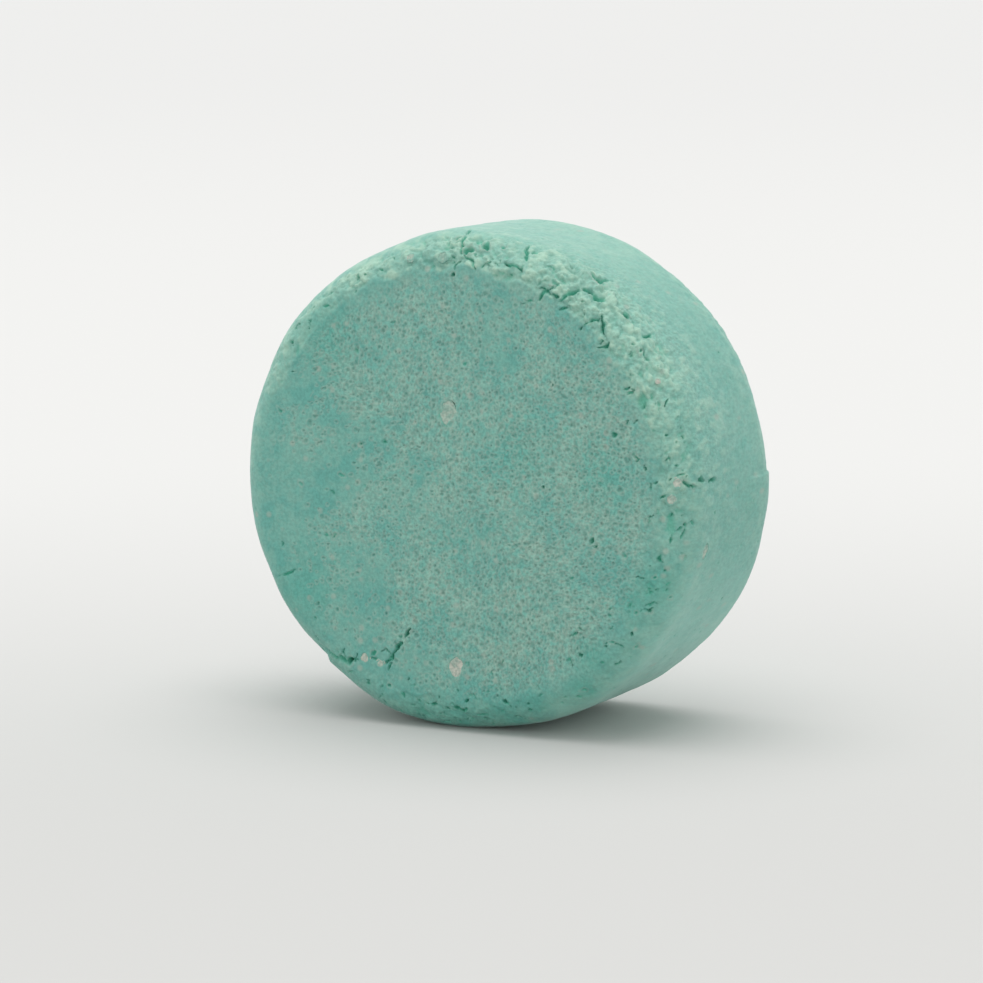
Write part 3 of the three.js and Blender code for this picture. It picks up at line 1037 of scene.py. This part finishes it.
def make_soap_material():
    """Mint soap: mottled, teal in patches and sandy where it crumbles. Pores and the deepest parts of cracks
    are painted darker, as shade. Cracks and pits get painted bounce light, and the rim gets painted light
    and a painted floor reflection.
    """
    n = Nodes("mint_soap")
    where = n.millimetres()
    porous = n.attribute("porous")
    broad = n.noise(where, 7, 2)
    middling = n.noise(where, 2.6, 3)
    close = n.noise(where, 0.95, 3, 0.6)
    blend = n.math("ADD", n.math("MULTIPLY", middling, 0.45), n.math("MULTIPLY", close, 0.55))
    grey = n.math("MULTIPLY", n.span(blend, 0.38, 0.58), n.span(porous, 0, 1, 0.42, 1))
    colour = n.mix(grey, MINT, MINT_GREY)
    teal = n.math("ADD", n.math("MULTIPLY", middling, 0.5), n.math("MULTIPLY", broad, 0.5))
    teal = n.math("MULTIPLY", n.span(teal, 0.47, 0.6, 0, 0.68), n.span(n.attribute("face"), 0, 1, 0.4, 1))
    colour = n.mix(teal, colour, MINT_TEAL)
    colour = n.mix(n.attribute("dye"), colour, DYE_TEAL)

    grain = n.noise(where, 0.4, 3, 0.65)
    light = n.span(grain, 0.34, 0.66, 0.8, 1.2)
    contrast = n.math("MAXIMUM", n.span(porous, 0, 1, 0.5, 1), n.attribute("sandy"))
    colour = n.mix(contrast, colour, n.mix(1.0, colour, light, "MULTIPLY"))
    # Painted floor reflection on the lower rim.
    colour = n.mix(n.attribute("painted_reflection"), colour, RIM_REFLECTION_TINT)
    colour = n.mix(n.math("MULTIPLY", n.attribute("pale"), 0.8), colour, PALE_AND_PAINTED_LIGHT)
    colour = n.mix(n.math("MULTIPLY", n.attribute("ring"), 0.38), colour, FLECK_PINK)

    flecks = n.add("TexVoronoi", {"feature": "F1"}, Vector=where, Scale=1 / 2.1)
    fleck = n.span(flecks.outputs["Distance"], 0.1, 0.3, 1, 0)
    picked = n.add("SeparateColor", Color=flecks.outputs["Color"]).outputs[0]
    fleck = n.math("MULTIPLY", fleck, n.span(picked, 0.7, 0.74))
    colour = n.mix(n.math("MULTIPLY", fleck, 0.5), colour, FLECK_PINK)

    # Painted shade in the pores.
    colour = n.mix(n.math("MULTIPLY", n.attribute("pore"), 0.52), colour, PORE_SHADE_GREEN)
    # Painted bounce light in cracks, pits and creases.
    colour = n.mix(n.math("MULTIPLY", n.attribute("hollow"), 0.8), colour, HOLLOW_BOUNCE_GREEN)
    # Painted shade.
    colour = n.mix(n.math("MULTIPLY", n.attribute("painted_shade"), 0.52), colour, DEEP_SHADE_GREEN)

    rough = n.span(n.noise(where, 1.4, 2), 0.3, 0.7, 0.55, 0.72)
    fine = n.noise(where, 0.36, 3, 0.6)
    strength = n.span(n.attribute("sandy"), 0.0, 0.8, 0.22, 1.0)
    bump = n.add("Bump", Strength=strength, Distance=0.16 * MM, Height=fine)
    shader = n.add("BsdfPrincipled", Base_Color=colour, Roughness=rough, Normal=bump.outputs[0])
    shader.inputs["Specular IOR Level"].default_value = 0.5
    shader.inputs["Sheen Weight"].default_value = 0.12
    shader.inputs["Sheen Roughness"].default_value = 0.35
    shader.inputs["Sheen Tint"].default_value = (0.95, 0.98, 1, 1)
    n.put(n.output.inputs["Surface"], shader.outputs[0])
    return n.material


def make_powder_material():
    """Clouded pale powder that turns to mint at its border. Its tone runs from greenish to pinkish white."""
    n = Nodes("undispersed_powder")
    where = n.millimetres()
    clouds = n.span(n.noise(where, 0.8, 3, 0.6), 0.35, 0.65)
    tone = n.attribute("tone")
    low = n.mix(tone, POWDER_DIM, POWDER_DIM_WHITE)
    high = n.mix(tone, POWDER_LIT, POWDER_LIT_WHITE)
    colour = n.mix(clouds, low, high)
    edge = n.math("MULTIPLY", n.attribute("rim"), n.span(n.noise(where, 0.7, 3, 0.6), 0.35, 0.6, 0.3, 1))
    colour = n.mix(n.math("MULTIPLY", edge, 0.85), colour, MINT)
    light = n.span(n.noise(where, 0.3, 2), 0.3, 0.7, 0.84, 1.14)
    colour = n.mix(1.0, colour, light, "MULTIPLY")
    bump = n.add("Bump", Strength=0.5, Distance=0.06 * MM, Height=n.noise(where, 0.28, 3))
    rough = n.span(n.noise(where, 0.6, 2), 0.3, 0.7, 0.7, 0.9)
    shader = n.add("BsdfPrincipled", Base_Color=colour, Roughness=rough, Normal=bump.outputs[0])
    shader.inputs["Specular IOR Level"].default_value = 0.4
    n.put(n.output.inputs["Surface"], shader.outputs[0])
    return n.material


AWAY_FROM_CAMERA = (-0.45, 0.89, 0)


def make_floor_material():
    """A pale sweep of paper, with painted shade: darker towards the front and a little darker far back."""
    n = Nodes("pale_floor")
    where = n.add("TexCoord").outputs["Object"]
    depth = n.add("VectorMath", {"operation": "DOT_PRODUCT"}, Vector=where)
    depth.inputs[1].default_value = AWAY_FROM_CAMERA
    # Painted shade: the floor's tone falls off towards the camera and far back, standing in for the way the
    # light falls off.
    tone = n.mix(n.span(depth.outputs["Value"], -0.12, 0.26), FLOOR_NEAR_SHADED, FLOOR_FAR)
    tone = n.mix(n.span(depth.outputs["Value"], 0.4, 1.6), tone, FLOOR_BACK_SHADED)
    shader = n.add("BsdfPrincipled", Base_Color=tone, Roughness=1.0)
    shader.inputs["Specular IOR Level"].default_value = 0.0
    n.put(n.output.inputs["Surface"], shader.outputs[0])
    return n.material


# ---- Stage, light and camera ----

# Metres and degrees. The azimuth runs from -Y towards +X, and the aim is measured from the puck's centre.
CAMERA_DISTANCE = 0.6
CAMERA_AZIMUTH = 26.6
CAMERA_ELEVATION = 8.81
CAMERA_LENS = 156.2
AIM_RIGHT = -0.00207
AIM_UP = -0.00259
FLOOR_RADIUS = 6
FLOOR_HEIGHT = -0.01 * MM
# The room's brightness at the horizon and high up.
ROOM_LOW = 1.45
ROOM_HIGH = 0.6
ROOM_COLOUR = (1, 1, 0.99, 1)
SOFTBOX_STRENGTH = 1.95
SOFTBOX_ANGLE = 65
SOFTBOX_TILT = (-3, -2, 0)


def make_stage():
    """A wide round floor just under the puck."""
    grid = bmesh.new()
    bmesh.ops.create_circle(grid, cap_ends=True, segments=96, radius=FLOOR_RADIUS)
    mesh = bpy.data.meshes.new("floor")
    grid.to_mesh(mesh)
    grid.free()
    floor = bpy.data.objects.new("floor", mesh)
    floor.location.z = FLOOR_HEIGHT
    bpy.context.scene.collection.objects.link(floor)
    floor.data.materials.append(make_floor_material())


def make_light():
    """A bright room, and one wide softbox straight overhead."""
    world = bpy.data.worlds.new("studio")
    bpy.context.scene.world = world
    world.use_nodes = True
    tree = world.node_tree
    where = tree.nodes.new("ShaderNodeTexCoord").outputs["Generated"]
    parts = tree.nodes.new("ShaderNodeSeparateXYZ")
    tree.links.new(where, parts.inputs[0])
    rise = tree.nodes.new("ShaderNodeMapRange")
    rise.inputs["From Min"].default_value = 0.0
    rise.inputs["From Max"].default_value = 0.8
    rise.inputs["To Min"].default_value = ROOM_LOW
    rise.inputs["To Max"].default_value = ROOM_HIGH
    tree.links.new(parts.outputs["Z"], rise.inputs["Value"])
    tree.links.new(rise.outputs["Result"], tree.nodes["Background"].inputs["Strength"])
    tree.nodes["Background"].inputs["Color"].default_value = ROOM_COLOUR
    data = bpy.data.lights.new("overhead_softbox", "SUN")
    data.energy = SOFTBOX_STRENGTH
    data.angle = math.radians(SOFTBOX_ANGLE)
    lamp = bpy.data.objects.new("overhead_softbox", data)
    lamp.location = (0, 0, 0.8)
    lamp.rotation_euler = [math.radians(tilt) for tilt in SOFTBOX_TILT]
    bpy.context.scene.collection.objects.link(lamp)


def make_camera():
    """The camera, at the photo's own angle on the puck."""
    data = bpy.data.cameras.new("camera")
    data.sensor_width = 36
    data.lens = CAMERA_LENS
    data.clip_start, data.clip_end = 0.01, 30
    camera = bpy.data.objects.new("camera", data)
    round_turn, rise = math.radians(CAMERA_AZIMUTH), math.radians(CAMERA_ELEVATION)
    level = math.cos(rise)
    back = Vector((math.sin(round_turn) * level, -math.cos(round_turn) * level, math.sin(rise)))
    turn = (-back).to_track_quat("-Z", "Y")
    right, up = turn @ Vector((1, 0, 0)), turn @ Vector((0, 1, 0))
    aim = Vector((0, 0, AXIS_HEIGHT * MM)) + right * AIM_RIGHT + up * AIM_UP
    camera.location = aim + back * CAMERA_DISTANCE
    camera.rotation_mode = "QUATERNION"
    camera.rotation_quaternion = turn
    bpy.context.scene.collection.objects.link(camera)
    bpy.context.scene.camera = camera


# ---- The assembly ----

make_camera()
make_stage()
make_light()
bpy.context.scene.view_settings.view_transform = "Standard"

granule_nodes = sorted(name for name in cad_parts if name.startswith("granule"))

pressed_soap = make_cake(granule_nodes)
pressed_soap.data.materials.append(make_soap_material())
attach(pressed_soap, "root")
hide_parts("soap_body")

powder = make_powder_material()
for number, node in enumerate(granule_nodes):
    lump = make_granule(node, 500 + 7 * number)
    lump.data.materials.append(powder)
    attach(lump, "root")
    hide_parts(node)
